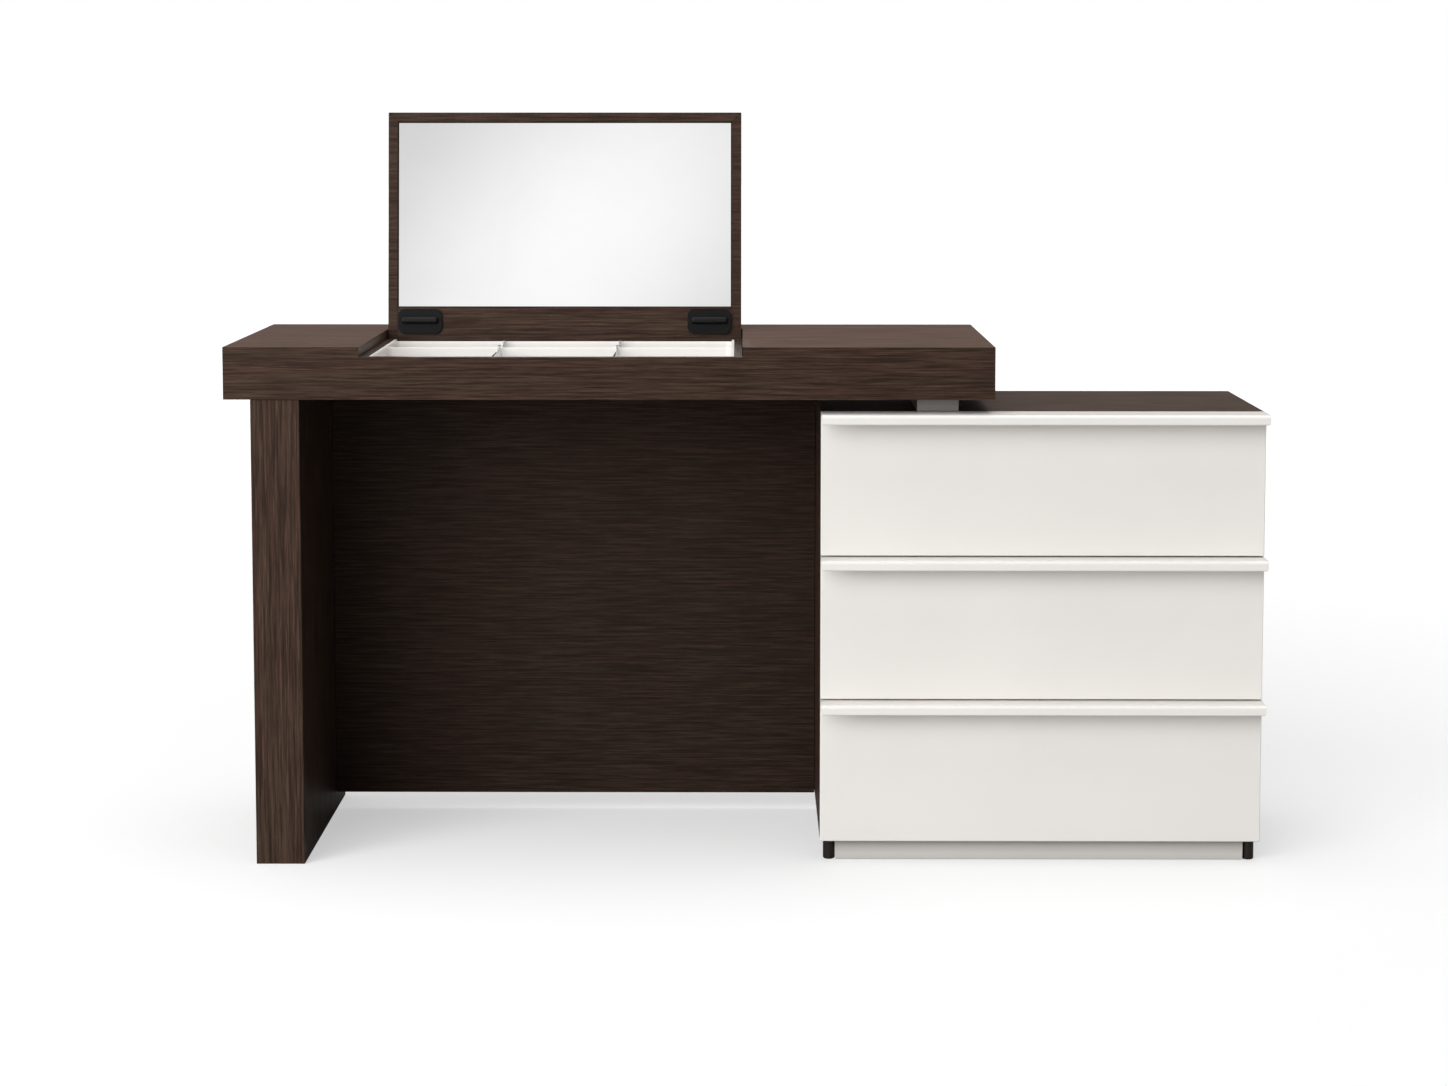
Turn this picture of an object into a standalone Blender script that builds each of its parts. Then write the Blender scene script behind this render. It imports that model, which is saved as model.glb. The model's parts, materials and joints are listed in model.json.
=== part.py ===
"""Dressing table: a hollow worktop on a slab leg and a drawer cabinet, with a mirror flap over a tray.

Metres, +Z up. The origin is on the floor, midway along the length and the depth. +X runs towards the cabinet
and +Y towards the back. A depth is measured from the worktop's front plane towards the back. The flap is
modelled shut, flat in its recess, and its empty turns it open.
"""

import math

import bmesh
import bpy
from mathutils import Vector

# Clearances
GAP = 0.0003  # between pieces that touch
MITRE_GAP = GAP * math.sqrt(2)  # the same, measured along the faces of a 45 degree mitre
OVERRUN = 0.010  # how far a cutter passes the face that it cuts
WELD = 0.000001
EDGE = 0.0006  # broken edges of boards
ARC_STEPS = 6
ROUND_SIDES = 24
QUARTER_TURN = math.pi / 2

# Worktop, a hollow box of mitred boards
TOP_LENGTH = 1.100
TOP_DEPTH = 0.450
TOP_SURFACE = 0.750
TOP_BUILD_UP = 0.075
TOP_WALL = 0.015
TOP_FLOOR = 0.012

# Recess for the flap, open at the worktop's front
RECESS_OFFSET = 0.1935
RECESS_LENGTH = 0.547
RECESS_DROP = 0.014
TOP_BACK_STRIP = 0.0893  # worktop left behind the recess
COMPARTMENT_WALL = 0.012

# Flap with the mirror
FLAP_SIDE_GAP = 0.002
FLAP_FRONT_GAP = 0.0005
FLAP_BACK_GAP = 0.0012
FLAP_THICKNESS = 0.013
FLAP_PANEL = 0.008
FLAP_TAIL = 0.0175  # behind the hinge axis
FLAP_CHAMFER = 0.004
FLAP_STRIP = 0.014
FLAP_RAIL = 0.057
MIRROR_GLASS = 0.003
MIRROR_GAP = 0.0015  # round the glass
FLAP_OPENING = math.radians(95.6)

# Flap hinges
AXIS_INSET = 0.0075  # hinge axis above the shut flap's inner face
HINGE_END_GAP = 0.0155
LEAF_LENGTH = 0.067
LEAF_WIDTH = 0.0385
LEAF_THICKNESS = 0.0035
LEAF_CORNER = 0.011
LEAF_RISE = 0.0166  # from the flap's tail to the leaf
LEAF_BAR_LENGTH = 0.055
LEAF_BAR_WIDTH = 0.0095
LEAF_BAR_HEIGHT = 0.0075
LEAF_BAR_ROUND = 0.003
LEAF_BAR_MIDDLE = 0.0209  # from the leaf's lower edge
KNUCKLE_RADIUS = 0.0035
KNUCKLE_WIDTH = 0.004
PIN_RADIUS = 0.0015
ARM_WIDTH = 0.008
ARM_THICKNESS = 0.004
ARM_PLATE_WIDTH = 0.034
ARM_PLATE_HEIGHT = 0.022
ARM_PLATE = 0.003
SLOT_CLEARANCE = 0.0006

# Organiser tray and its clear dividers
TRAY_RIM_DROP = 0.0006  # rim below the ledges
HINGE_ROOM = 0.0462  # from the tray's back to the hinge axis
TRAY_WALL = 0.004
TRAY_FLOOR = 0.003
TRAY_CORNER = 0.010
TRAY_BACK_BAY = 0.0983  # clear depth behind the lengthwise wall
TRAY_WALL_DROP = 0.001
TRAY_EAR_LENGTH = 0.030
TRAY_EAR_HEIGHT = 0.035
TRAY_EAR_RISE = 0.0004
DIVIDER_THICKNESS = 0.003
DIVIDER_DROP = 0.0044  # main edge below the rim
DIVIDER_RISE = 0.0021  # grips above the rim
DIVIDER_ROUND = 0.004
GRIP_LENGTH = 0.016
SADDLE_LENGTH = 0.022
DIVIDER_PLACE_SHARES = (0.330, 0.667)  # of the tray's length

# Slab leg and modesty panel
LEG_INSET = 0.038
LEG_SETBACK = 0.002
LEG_THICKNESS = 0.070
LEG_REAR_GAP = 0.024  # from the leg's back to the worktop's
PANEL_THICKNESS = 0.018
PANEL_FLOOR_GAP = 0.028

# Cabinet
CABINET_WIDTH = 0.637
CABINET_UNDER = 0.247  # length of cabinet that the worktop covers
CABINET_WALL = 0.018
CABINET_BOTTOM = 0.016
CABINET_BACK = 0.006
CABINET_REAR_DEPTH = 0.345
FOOT_HEIGHT = 0.030
FOOT_RADIUS = 0.0085
FOOT_INSET = 0.0135
FOOT_DEPTH = 0.022  # middle of a foot from the drawer faces, or from the cabinet's back
FOOT_CHAMFER = 0.0015
PLINTH_SETBACK = 0.012
PLINTH_THICKNESS = 0.016
PLINTH_FLOOR_GAP = 0.001

# Spacer bar between the cabinet and the worktop
SPACER_WIDTH = 0.060
SPACER_HEIGHT = 0.020
SPACER_END_INSET = 0.049
SPACER_SETBACK = 0.036
SPACER_REAR_GAP = 0.019  # from the bar's end to the cabinet's back

# Drawers
DRAWER_NAMES = ("bottom", "middle", "top")
DRAWER_SETBACK = 0.020  # drawer faces behind the worktop's front plane
DRAWER_GAP = 0.002
FRONT_BOARD = 0.018
FRONT_ROUND = 0.0015
FRONT_STANDOFF = 0.001  # between the fronts and the carcass
HANDLE_REACH = 0.036
HANDLE_LIP = 0.0145
HANDLE_WALL = 0.0035
HANDLE_ROUND = 0.0050
HANDLE_CORNER = 0.0040  # lower corners of the lip's ends
BOX_REAR_GAP = 0.011
BOX_HEADROOM = 0.037  # from the box's top to the top of its front
BOX_RISE = 0.030  # box above the lower edge of its front
BOX_WALL = 0.012
BOX_GROOVE = 0.005
BASE_RISE = 0.010
BASE_THICKNESS = 0.005

# Roller slides
SLIDE_SPACE = 0.0127  # between a drawer box and the cabinet side
SLIDE_STEEL = 0.0012
SLIDE_REAR_GAP = 0.009  # from the steel's end to the box's back
RAIL_WIDTH = 0.0105
RUNNER_FOOT = 0.010
ROLLER_RADIUS = 0.008
ROLLER_LIFT = 0.002  # front roller above the rear one
ROLLER_WIDTH = 0.007
ROLLER_INSET = 0.010  # middle of a roller from the end of its steel

# Places worked out from the sizes
LENGTH = TOP_LENGTH + CABINET_WIDTH - CABINET_UNDER
FRONT = (HANDLE_REACH - DRAWER_SETBACK - TOP_DEPTH) / 2
BACK = FRONT + TOP_DEPTH
TOP_LEFT = -LENGTH / 2
TOP_RIGHT = TOP_LEFT + TOP_LENGTH
TOP_UNDERSIDE = TOP_SURFACE - TOP_BUILD_UP
TOP_INNER = TOP_SURFACE - TOP_WALL
TOP_FLOOR_SURFACE = TOP_UNDERSIDE + TOP_FLOOR
CABINET_TOP = TOP_UNDERSIDE - SPACER_HEIGHT
CABINET_LEFT = TOP_RIGHT - CABINET_UNDER
CABINET_MIDDLE = CABINET_LEFT + CABINET_WIDTH / 2
CABINET_BACK_FACE = FRONT + CABINET_REAR_DEPTH
CARCASS_FRONT = FRONT + DRAWER_SETBACK + FRONT_BOARD + FRONT_STANDOFF

RECESS_LEFT = TOP_LEFT + RECESS_OFFSET
RECESS_RIGHT = RECESS_LEFT + RECESS_LENGTH
RECESS_MIDDLE = (RECESS_LEFT + RECESS_RIGHT) / 2
LEDGE = TOP_SURFACE - RECESS_DROP
FLAP_INNER = -AXIS_INSET  # heights in the flap's own frame, with the axis at zero
FLAP_SEAM = FLAP_INNER + FLAP_THICKNESS - FLAP_PANEL
FLAP_OUTER = FLAP_INNER + FLAP_THICKNESS
FLAP_HALF = RECESS_LENGTH / 2 - FLAP_SIDE_GAP
FLAP_SWEEP = max(
    math.hypot(FLAP_TAIL, FLAP_INNER), math.hypot(FLAP_TAIL - FLAP_CHAMFER, FLAP_OUTER)
)
RECESS_BACK_DEPTH = TOP_DEPTH - TOP_BACK_STRIP
AXIS_DEPTH = RECESS_BACK_DEPTH - FLAP_BACK_GAP - FLAP_SWEEP
AXIS_HEIGHT = LEDGE + GAP + AXIS_INSET
FLAP_REACH = AXIS_DEPTH - FLAP_FRONT_GAP  # from the hinge axis to the front edge of the shut flap
FLAP_TAIL_LEAN = FLAP_TAIL * math.sin(FLAP_OPENING - QUARTER_TURN) + AXIS_INSET  # forward, when open
LEAF_EDGE = FLAP_TAIL - LEAF_RISE
ARM_WALL = RECESS_BACK_DEPTH - AXIS_DEPTH - GAP  # from the axis to the wall that carries the arm
POCKET_HALF = ARM_WIDTH / 2 + GAP + KNUCKLE_WIDTH + SLOT_CLEARANCE
POCKET_RADIUS = KNUCKLE_RADIUS + SLOT_CLEARANCE
ARM_SLOT_HALF = ARM_WIDTH / 2 + SLOT_CLEARANCE
HINGE_OFFSET = FLAP_HALF - HINGE_END_GAP - LEAF_LENGTH / 2

TRAY_LEFT = RECESS_LEFT + GAP + COMPARTMENT_WALL + GAP
TRAY_RIGHT = RECESS_RIGHT - GAP - COMPARTMENT_WALL - GAP
TRAY_FRONT = FRONT + TOP_WALL + GAP
TRAY_BACK = FRONT + AXIS_DEPTH - HINGE_ROOM
TRAY_WALL_MIDDLE = TRAY_BACK - TRAY_WALL - TRAY_BACK_BAY - TRAY_WALL / 2
TRAY_RIM = LEDGE - TRAY_RIM_DROP
TRAY_BOTTOM = TOP_FLOOR_SURFACE + GAP
TRAY_SURFACE = TRAY_BOTTOM + TRAY_FLOOR
TRAY_WALL_TOP = TRAY_RIM - TRAY_WALL_DROP

FRONT_HEIGHT = (CABINET_TOP - FOOT_HEIGHT - DRAWER_GAP * (len(DRAWER_NAMES) - 1)) / len(DRAWER_NAMES)
CABINET_INNER_HALF = CABINET_WIDTH / 2 - CABINET_WALL
BOX_HALF = CABINET_INNER_HALF - SLIDE_SPACE
BOX_FRONT = FRONT_BOARD + GAP
BOX_BACK = CABINET_REAR_DEPTH - DRAWER_SETBACK - CABINET_BACK - BOX_REAR_GAP
BOX_TOP = FRONT_HEIGHT - BOX_HEADROOM
SLIDE_START = BOX_FRONT + FRONT_STANDOFF
SLIDE_END = BOX_BACK - SLIDE_REAR_GAP
CHANNEL_HEIGHT = 2 * (ROLLER_RADIUS + GAP + SLIDE_STEEL)
ROLLER_HEIGHT = SLIDE_STEEL + GAP + ROLLER_RADIUS  # rear roller's axis above the channel's lower face


def collection(name):
    made = bpy.data.collections.new(name)
    bpy.context.scene.collection.children.link(made)
    return made


def finish(name, colour, roughness, metallic=0.0, transmission=0.0):
    made = bpy.data.materials.new(name)
    made.use_nodes = True
    shader = made.node_tree.nodes["Principled BSDF"]
    shader.inputs["Base Color"].default_value = (*colour, 1.0)
    shader.inputs["Roughness"].default_value = roughness
    shader.inputs["Metallic"].default_value = metallic
    shader.inputs["Transmission Weight"].default_value = transmission
    made.diffuse_color = (*colour, 1.0)
    return made


def place(piece, name, material, parent=None):
    """Names a piece and files it. Without a material it is a cutter, or a shape that another one takes in."""
    piece.name = name
    piece.data.name = name
    for old in list(piece.users_collection):
        old.objects.unlink(piece)
    if material is None:
        TOOLS.objects.link(piece)
        piece.hide_render = True
        piece.display_type = "WIRE"
    else:
        PARTS.objects.link(piece)
        piece.data.materials.append(material)
    piece.parent = parent
    return piece


def empty(name, location, turn=0.0):
    made = bpy.data.objects.new(name, None)
    made.location = location
    made.rotation_euler.x = turn
    PARTS.objects.link(made)
    return made


def soften(piece, width, segments=1):
    bevel = piece.modifiers.new("soft edges", "BEVEL")
    bevel.width = width
    bevel.segments = segments
    bevel.limit_method = "ANGLE"
    return bevel


def board(name, low, high, material=None, parent=None, edge=EDGE):
    """A board between two corners of its parent's frame."""
    middle = (Vector(low) + Vector(high)) / 2
    bpy.ops.mesh.primitive_cube_add(size=1, location=middle)
    piece = bpy.context.object
    piece.scale = Vector(high) - Vector(low)
    bpy.ops.object.transform_apply(location=False, rotation=False, scale=True)
    if edge and material is not None:
        soften(piece, edge)
    return place(piece, name, material, parent)


def rod(name, radius, start, end, material=None, parent=None):
    """A round bar along X between two points."""
    middle = (Vector(start) + Vector(end)) / 2
    length = (Vector(end) - Vector(start)).length
    bpy.ops.mesh.primitive_cylinder_add(
        vertices=ROUND_SIDES, radius=radius, depth=length, location=middle, rotation=(0, QUARTER_TURN, 0)
    )
    return place(bpy.context.object, name, material, parent)


def round_corners(piece, axis, radius, segments=ARC_STEPS):
    """Rounds the four edges of a box that run along one axis."""
    shape = bmesh.new()
    shape.from_mesh(piece.data)
    edges = [
        edge for edge in shape.edges if abs(edge.verts[0].co[axis] - edge.verts[1].co[axis]) > WELD
    ]
    bmesh.ops.bevel(
        shape, geom=edges, offset=radius, segments=segments, profile=0.5, affect="EDGES"
    )
    shape.to_mesh(piece.data)
    shape.free()
    return piece


def slope_end(piece, end_axis, end_side, edge_axis, edge_side, run):
    """Cuts one end of a board at a slant: the end's corners on one edge move back by run."""
    for vertex in piece.data.vertices:
        if vertex.co[end_axis] * end_side > 0 and vertex.co[edge_axis] * edge_side > 0:
            vertex.co[end_axis] -= end_side * run
    return piece


def combine(piece, other, operation):
    change = piece.modifiers.new(f"{operation.lower()} {other.name}", "BOOLEAN")
    change.operation = operation
    change.solver = "EXACT"
    change.object = other
    return piece


def arc(centre, radius, start, end):
    """Points of an arc between two angles in degrees."""
    turns = (math.radians(start + (end - start) * step / ARC_STEPS) for step in range(ARC_STEPS + 1))
    return [(centre[0] + radius * math.cos(turn), centre[1] + radius * math.sin(turn)) for turn in turns]


def profile(name, points, low, high, along, material, parent=None):
    """A flat outline as a curve, extruded along X with (y, z) points, or along Y with (x, z) points."""
    curve = bpy.data.curves.new(name, "CURVE")
    curve.dimensions = "2D"
    curve.fill_mode = "BOTH"
    curve.extrude = (high - low) / 2
    spline = curve.splines.new("POLY")
    spline.points.add(len(points) - 1)
    for point, (across, up) in zip(spline.points, points):
        point.co = (across, up, 0, 1)
    spline.use_cyclic_u = True
    piece = bpy.data.objects.new(name, curve)
    middle = (low + high) / 2
    piece.location = (middle, 0, 0) if along == "X" else (0, middle, 0)
    piece.rotation_euler = (QUARTER_TURN, 0, QUARTER_TURN if along == "X" else 0)
    return place(piece, name, material, parent)


def solid_profile(name, points, low, high, along, material=None, parent=None):
    """The same as a mesh, for a piece that is cut or joined."""
    guide = profile(name, points, low, high, along, None, parent)
    bpy.context.view_layer.update()
    evaluated = guide.evaluated_get(bpy.context.evaluated_depsgraph_get())
    mesh = bpy.data.meshes.new_from_object(evaluated)
    shape = bmesh.new()
    shape.from_mesh(mesh)
    bmesh.ops.remove_doubles(shape, verts=shape.verts, dist=WELD)
    bmesh.ops.recalc_face_normals(shape, faces=shape.faces)
    shape.to_mesh(mesh)
    shape.free()
    location, turn = guide.location.copy(), guide.rotation_euler.copy()
    bpy.data.objects.remove(guide)
    piece = bpy.data.objects.new(name, mesh)
    piece.location = location
    piece.rotation_euler = turn
    mesh.materials.clear()
    return place(piece, name, material, parent)


def smooth(piece):
    piece.data.shade_smooth()
    piece.data.set_sharp_from_angle(angle=math.radians(35))
    return piece


def make_worktop():
    low, high = TOP_UNDERSIDE, TOP_SURFACE
    top = board(
        "worktop_top_board", (TOP_LEFT, FRONT, TOP_INNER), (TOP_RIGHT, BACK, high), WOOD, edge=0
    )
    slope_end(top, 1, -1, 2, -1, TOP_WALL)
    slope_end(top, 0, -1, 2, -1, TOP_WALL)
    slope_end(top, 0, 1, 2, -1, TOP_WALL)
    cut_out = board(
        "cut_out",
        (RECESS_LEFT, FRONT - OVERRUN, TOP_INNER - OVERRUN),
        (RECESS_RIGHT, FRONT + RECESS_BACK_DEPTH, high + OVERRUN),
    )
    combine(top, cut_out, "DIFFERENCE")

    fascia = board(
        "worktop_front_fascia",
        (TOP_LEFT, FRONT, low),
        (TOP_RIGHT, FRONT + TOP_WALL, high - MITRE_GAP),
        WOOD,
        edge=0,
    )
    slope_end(fascia, 2, 1, 1, 1, TOP_WALL)
    slope_end(fascia, 0, -1, 1, 1, TOP_WALL)
    slope_end(fascia, 0, 1, 1, 1, TOP_WALL)
    notch = board(
        "fascia_notch",
        (RECESS_LEFT, FRONT - OVERRUN, LEDGE),
        (RECESS_RIGHT, FRONT + TOP_WALL + OVERRUN, high + OVERRUN),
    )
    combine(fascia, notch, "DIFFERENCE")

    for name, side, outer in (("left", -1, TOP_LEFT), ("right", 1, TOP_RIGHT)):
        inner = outer - side * TOP_WALL
        end = board(
            f"worktop_{name}_end",
            (min(outer, inner), FRONT + MITRE_GAP, low),
            (max(outer, inner), BACK, high - MITRE_GAP),
            WOOD,
            edge=0,
        )
        slope_end(end, 2, 1, 0, -side, TOP_WALL)
        slope_end(end, 1, -1, 0, -side, TOP_WALL)

    inside_left = TOP_LEFT + TOP_WALL + GAP
    inside_right = TOP_RIGHT - TOP_WALL - GAP
    board(
        "worktop_back_rail",
        (inside_left, BACK - TOP_WALL, low),
        (inside_right, BACK, TOP_INNER - GAP),
        WOOD,
    )
    board(
        "worktop_bottom_board",
        (inside_left, FRONT + TOP_WALL + GAP, low),
        (inside_right, BACK - TOP_WALL - GAP, TOP_FLOOR_SURFACE),
        WOOD,
    )


def make_compartment():
    """The walls of the tray's compartment. The tops of the side walls carry the shut flap."""
    floor = TOP_FLOOR_SURFACE + GAP
    wall_front = FRONT + TOP_WALL + GAP
    wall_back = FRONT + RECESS_BACK_DEPTH
    flap_room = board(
        "room_for_the_flap_tail",
        (
            RECESS_LEFT - OVERRUN,
            FRONT + AXIS_DEPTH - FLAP_TAIL_LEAN - FLAP_BACK_GAP,
            AXIS_HEIGHT - FLAP_SWEEP - FLAP_BACK_GAP,
        ),
        (RECESS_RIGHT + OVERRUN, wall_back + OVERRUN, LEDGE + OVERRUN),
    )
    for name, low_x in (
        ("left", RECESS_LEFT + GAP),
        ("right", RECESS_RIGHT - GAP - COMPARTMENT_WALL),
    ):
        wall = board(
            f"compartment_{name}_wall",
            (low_x, wall_front, floor),
            (low_x + COMPARTMENT_WALL, wall_back - GAP, LEDGE),
            WOOD,
        )
        combine(wall, flap_room, "DIFFERENCE")
    board(
        "compartment_back_wall",
        (RECESS_LEFT, wall_back, floor),
        (RECESS_RIGHT, wall_back + COMPARTMENT_WALL, TOP_INNER - GAP),
        WOOD,
    )


def make_tray():
    tray = board(
        "organizer_tray",
        (TRAY_LEFT, TRAY_FRONT, TRAY_BOTTOM),
        (TRAY_RIGHT, TRAY_BACK, TRAY_RIM),
        TRAY_PLASTIC,
        edge=0,
    )
    bays = (
        ("front_bay", TRAY_FRONT + TRAY_WALL, TRAY_WALL_MIDDLE - TRAY_WALL / 2),
        ("back_bay", TRAY_WALL_MIDDLE + TRAY_WALL / 2, TRAY_BACK - TRAY_WALL),
    )
    for name, bay_front, bay_back in bays:
        bay = board(
            name,
            (TRAY_LEFT + TRAY_WALL, bay_front, TRAY_SURFACE),
            (TRAY_RIGHT - TRAY_WALL, bay_back, TRAY_RIM + OVERRUN),
        )
        round_corners(bay, 2, TRAY_CORNER)
        combine(tray, bay, "DIFFERENCE")
    lowered = board(
        "wall_top",
        (TRAY_LEFT + TRAY_WALL + TRAY_CORNER, TRAY_WALL_MIDDLE - TRAY_WALL, TRAY_WALL_TOP),
        (TRAY_RIGHT - TRAY_WALL - TRAY_CORNER, TRAY_WALL_MIDDLE + TRAY_WALL, TRAY_RIM + OVERRUN),
    )
    combine(tray, lowered, "DIFFERENCE")
    for name, low_x in (("left", TRAY_LEFT), ("right", TRAY_RIGHT - TRAY_WALL)):
        top = TRAY_RIM + TRAY_EAR_RISE
        ear = board(
            f"tray_ear_{name}",
            (low_x + GAP, TRAY_BACK - TRAY_WALL / 2, top - TRAY_EAR_HEIGHT),
            (low_x + TRAY_WALL - GAP, TRAY_BACK + TRAY_EAR_LENGTH, top),
        )
        combine(tray, ear, "UNION")
    return smooth(tray)


def divider_outline():
    """Side view of a clear divider: it drops over the tray's lengthwise wall and has a grip at its back."""
    front = TRAY_FRONT + TRAY_WALL + GAP
    back = TRAY_BACK - TRAY_WALL - GAP
    bottom = TRAY_SURFACE + GAP
    low_edge = TRAY_RIM - DIVIDER_DROP
    high_edge = TRAY_RIM + DIVIDER_RISE
    wall = TRAY_WALL_MIDDLE
    slot_half = TRAY_WALL / 2 + GAP
    saddle_half = SADDLE_LENGTH / 2
    fillet = DIVIDER_ROUND / 2
    return [
        (front, bottom),
        (wall - slot_half, bottom),
        (wall - slot_half, TRAY_WALL_TOP + GAP),
        (wall + slot_half, TRAY_WALL_TOP + GAP),
        (wall + slot_half, bottom),
        (back, bottom),
        *arc((back - DIVIDER_ROUND, high_edge - DIVIDER_ROUND), DIVIDER_ROUND, 0, 90),
        *arc((back - GRIP_LENGTH + DIVIDER_ROUND, high_edge - DIVIDER_ROUND), DIVIDER_ROUND, 90, 180),
        *arc((back - GRIP_LENGTH - fillet, low_edge + fillet), fillet, 0, -90),
        *arc((wall + saddle_half + fillet, low_edge + fillet), fillet, -90, -180),
        *arc((wall + saddle_half - DIVIDER_ROUND, high_edge - DIVIDER_ROUND), DIVIDER_ROUND, 0, 90),
        *arc((wall - saddle_half + DIVIDER_ROUND, high_edge - DIVIDER_ROUND), DIVIDER_ROUND, 90, 180),
        *arc((wall - saddle_half - fillet, low_edge + fillet), fillet, 0, -90),
        (front, low_edge),
    ]


def make_dividers():
    inside = TRAY_RIGHT - TRAY_LEFT
    for name, share in zip(("left", "right"), DIVIDER_PLACE_SHARES):
        middle = TRAY_LEFT + inside * share
        half = DIVIDER_THICKNESS / 2
        profile(f"clear_divider_{name}", divider_outline(), middle - half, middle + half, "X", ACRYLIC)


def hinge_cutters(name, middle, axis):
    """Room for a hinge in the flap: a pocket for the knuckles, open under the leaf, and the arm's slot."""
    pocket_front = -2 * POCKET_RADIUS
    pocket = board(
        f"knuckle_pocket_{name}",
        (middle - POCKET_HALF, pocket_front, -POCKET_RADIUS),
        (middle + POCKET_HALF, POCKET_RADIUS, POCKET_RADIUS),
        parent=axis,
    )
    window = board(
        f"knuckle_window_{name}",
        (middle - POCKET_HALF, pocket_front, FLAP_INNER - OVERRUN),
        (middle + POCKET_HALF, SLOT_CLEARANCE, 0),
        parent=axis,
    )
    slot = board(
        f"arm_slot_{name}",
        (middle - ARM_SLOT_HALF, -POCKET_RADIUS, -ARM_THICKNESS / 2 - SLOT_CLEARANCE),
        (middle + ARM_SLOT_HALF, FLAP_TAIL + OVERRUN, FLAP_OUTER + OVERRUN),
        parent=axis,
    )
    notch = board(
        f"arm_notch_{name}",
        (middle - ARM_SLOT_HALF, ARM_WALL - ARM_THICKNESS - SLOT_CLEARANCE, FLAP_INNER - OVERRUN),
        (middle + ARM_SLOT_HALF, FLAP_TAIL + OVERRUN, FLAP_OUTER + OVERRUN),
        parent=axis,
    )
    return pocket, window, slot, notch


def make_flap():
    """The flap, in its own frame: the hinge axis at the origin, shut, with its front towards -Y."""
    axis = empty("flap_axis", (RECESS_MIDDLE, FRONT + AXIS_DEPTH, AXIS_HEIGHT), -FLAP_OPENING)
    inside_half = FLAP_HALF - FLAP_STRIP
    rail_front = FLAP_TAIL - FLAP_RAIL
    panel = board(
        "flap_panel",
        (-FLAP_HALF, -FLAP_REACH, FLAP_SEAM),
        (FLAP_HALF, FLAP_TAIL, FLAP_OUTER),
        WOOD,
        axis,
        edge=0,
    )
    slope_end(panel, 1, 1, 2, 1, FLAP_CHAMFER)
    rail = board(
        "flap_bottom_rail",
        (-inside_half + GAP, rail_front, FLAP_INNER),
        (inside_half - GAP, FLAP_TAIL, FLAP_SEAM - GAP),
        WOOD,
        axis,
        edge=0,
    )
    for name, side in (("left", -1), ("right", 1)):
        for cutter in hinge_cutters(name, side * HINGE_OFFSET, axis):
            combine(panel, cutter, "DIFFERENCE")
            combine(rail, cutter, "DIFFERENCE")
        outer, inner = side * FLAP_HALF, side * inside_half
        stile = board(
            f"flap_{name}_stile",
            (min(outer, inner), -FLAP_REACH, FLAP_INNER),
            (max(outer, inner), FLAP_TAIL, FLAP_SEAM - GAP),
            WOOD,
            axis,
            edge=0,
        )
        slope_end(stile, 1, -1, 0, -side, FLAP_STRIP)
    top = board(
        "flap_top_rail",
        (-FLAP_HALF + MITRE_GAP, -FLAP_REACH, FLAP_INNER),
        (FLAP_HALF - MITRE_GAP, FLAP_STRIP - FLAP_REACH, FLAP_SEAM - GAP),
        WOOD,
        axis,
        edge=0,
    )
    slope_end(top, 0, -1, 1, 1, FLAP_STRIP)
    slope_end(top, 0, 1, 1, 1, FLAP_STRIP)
    glass_back = FLAP_SEAM - GAP
    board(
        "flap_mirror",
        (-inside_half + MIRROR_GAP, FLAP_STRIP - FLAP_REACH + MIRROR_GAP, glass_back - MIRROR_GLASS),
        (inside_half - MIRROR_GAP, rail_front - MIRROR_GAP, glass_back),
        MIRROR,
        axis,
    )
    return axis


def make_hinge_leaf(name, middle, axis):
    """The hinge body on the flap: a rounded plate with a raised bar, and two knuckles round the pin."""
    face = FLAP_INNER - GAP
    leaf = board(
        f"hinge_leaf_{name}",
        (middle - LEAF_LENGTH / 2, LEAF_EDGE - LEAF_WIDTH, face - LEAF_THICKNESS),
        (middle + LEAF_LENGTH / 2, LEAF_EDGE, face),
        BLACK,
        axis,
        edge=0,
    )
    round_corners(leaf, 2, LEAF_CORNER)
    bar_middle = LEAF_EDGE - LEAF_BAR_MIDDLE
    bar_half = LEAF_BAR_LENGTH / 2
    bar_low = face - LEAF_THICKNESS - LEAF_BAR_HEIGHT
    bar = board(
        f"leaf_bar_{name}",
        (middle - bar_half, bar_middle - LEAF_BAR_WIDTH / 2, bar_low),
        (middle + bar_half, bar_middle + LEAF_BAR_WIDTH / 2, face - LEAF_THICKNESS / 2),
        parent=axis,
    )
    soften(bar, LEAF_BAR_ROUND, 3)
    combine(leaf, bar, "UNION")
    knuckle = [
        (-KNUCKLE_RADIUS, face - LEAF_THICKNESS / 2),
        (0, face - LEAF_THICKNESS / 2),
        *arc((0, 0), KNUCKLE_RADIUS, -90, 180),
    ]
    near = ARM_WIDTH / 2 + GAP
    for side in (-1, 1):
        inner, outer = middle + side * near, middle + side * (near + KNUCKLE_WIDTH)
        low_x, high_x = sorted((inner, outer))
        ear = solid_profile(f"knuckle_{name}_{side}", knuckle, low_x, high_x, "X", parent=axis)
        combine(leaf, ear, "UNION")
    reach = near + KNUCKLE_WIDTH + OVERRUN
    start, end = (middle - reach, 0, 0), (middle + reach, 0, 0)
    bore = rod(f"pin_bore_{name}", PIN_RADIUS + GAP, start, end, parent=axis)
    combine(leaf, bore, "DIFFERENCE")
    return smooth(leaf)


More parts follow.
